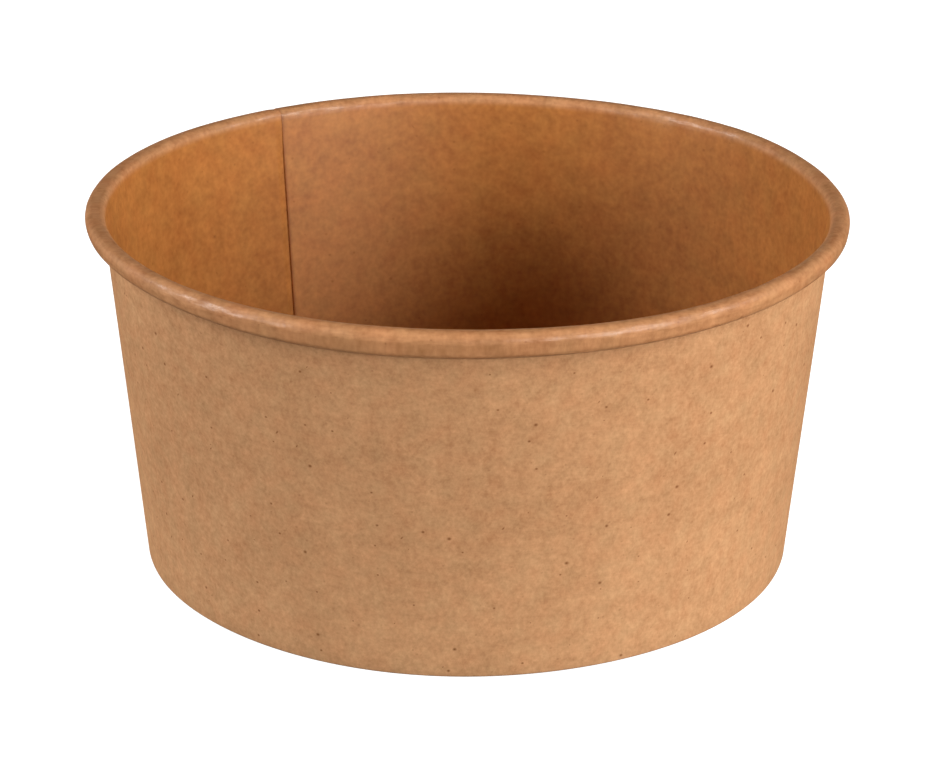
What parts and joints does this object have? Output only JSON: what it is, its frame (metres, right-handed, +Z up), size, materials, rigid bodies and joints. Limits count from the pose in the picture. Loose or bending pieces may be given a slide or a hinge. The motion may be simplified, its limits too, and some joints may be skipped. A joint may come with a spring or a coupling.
{
  "type": "paper ice cream tub",
  "caption": "Round open paperboard tub with a tapered wrapped wall, a rolled rim, a lapped side seam and a raised base inside a folded foot.",
  "frame": {"origin": "on the ground at the middle of the round foot", "axes": "+Z up along the tub's round axis; the seen inner edge of the side seam stands at 124.3 degrees from +X towards +Y"},
  "size_m": [0.15, 0.15, 0.0723],
  "materials": {
    "kraft_wall": "matt brown kraft outside, with a faint satin lining",
    "kraft_base": "brown kraft with a satin lining"
  },
  "bodies": {
    "root": {"side_wall": "kraft_wall", "base_disc": "kraft_base"}
  },
  "joints": []
}
